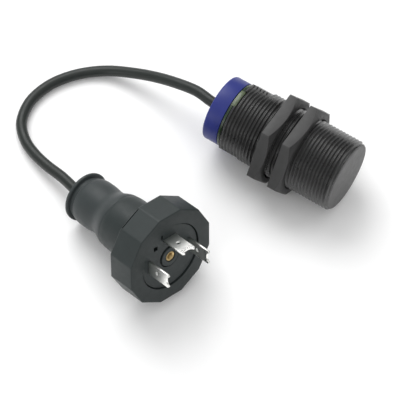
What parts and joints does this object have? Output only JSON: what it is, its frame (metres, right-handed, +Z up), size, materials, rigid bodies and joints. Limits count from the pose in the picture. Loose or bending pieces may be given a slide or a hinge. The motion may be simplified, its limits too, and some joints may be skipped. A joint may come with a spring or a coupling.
{
  "type": "cylindrical proximity sensor",
  "caption": "Threaded M30 plastic proximity sensor with two hexagon panel nuts and a short lead to a round three-blade plug.",
  "frame": {"origin": "bottom centre of the sensor without its lead and plug, on the surface that its two hexagon nuts lie on; the barrel axis is 18 mm above it", "axes": "+X along the barrel axis, out of the sensing face; +Z up; +Y completes a right-handed frame"},
  "size_m": [0.1322, 0.1106, 0.0436],
  "materials": {
    "black_plastic": "moulded black plastic, satin, threaded",
    "nut_grey": "moulded dark grey plastic",
    "face_plastic": "moulded mid grey plastic, satin",
    "cap_blue": "moulded blue plastic, unprinted",
    "light_guide": "translucent green-yellow plastic",
    "plug_slate": "moulded slate grey plastic",
    "grey_rubber": "moulded grey elastomer",
    "cable_grey": "extruded dark grey cable jacket",
    "natural_plastic": "uncoloured moulded plastic",
    "resin": "cast potting resin",
    "ferrite": "sintered ferrite",
    "board_green": "solder mask",
    "chip_black": "moulded component body",
    "led_clear": "tinted clear resin",
    "copper": "enamelled copper wire",
    "tin": "bright tin-plated contact metal",
    "brass": "turned brass",
    "wire_brown": "brown insulation",
    "wire_blue": "blue insulation"
  },
  "bodies": {
    "sensor": {"threaded_barrel": "black_plastic", "sensing_face_cap": "face_plastic", "ferrite_core": "ferrite", "coil_bobbin": "natural_plastic", "sensing_coil": "copper", "core_holder": "natural_plastic", "coil_lead_1": "copper", "coil_lead_2": "copper", "circuit_board": "board_green", "oscillator_chip": "chip_black", "output_transistor": "chip_black", "surge_suppressor": "chip_black", "rectifier_bridge": "chip_black", "capacitor_1": "natural_plastic", "capacitor_2": "natural_plastic", "capacitor_3": "natural_plastic", "capacitor_4": "natural_plastic", "upper_led": "led_clear", "lower_led": "led_clear", "rear_cap": "cap_blue", "light_guide_ring": "light_guide", "cable_bush": "grey_rubber", "potting_plug": "resin", "brown_lead": "wire_brown", "blue_lead": "wire_blue", "plug_head": "plug_slate", "plug_collar": "plug_slate", "cable_boot": "grey_rubber", "pin_carrier": "plug_slate", "centre_insert": "brass", "earth_blade": "tin", "contact_blade_1": "tin", "contact_blade_2": "tin", "cable_ferrule": "tin", "plug_lead_brown": "wire_brown", "plug_lead_blue": "wire_blue", "cable": "cable_grey"},
    "front_nut": {"front_nut": "nut_grey"},
    "rear_nut": {"rear_nut": "nut_grey"}
  },
  "joints": [
    {"name": "front_nut_travel", "type": "slide", "parent": "sensor", "child": "front_nut", "axis": [1, 0, 0], "range_m": [-0.002, 0.0165]},
    {"name": "rear_nut_travel", "type": "slide", "parent": "sensor", "child": "rear_nut", "axis": [1, 0, 0], "range_m": [-0.0167, 0.002]}
  ]
}
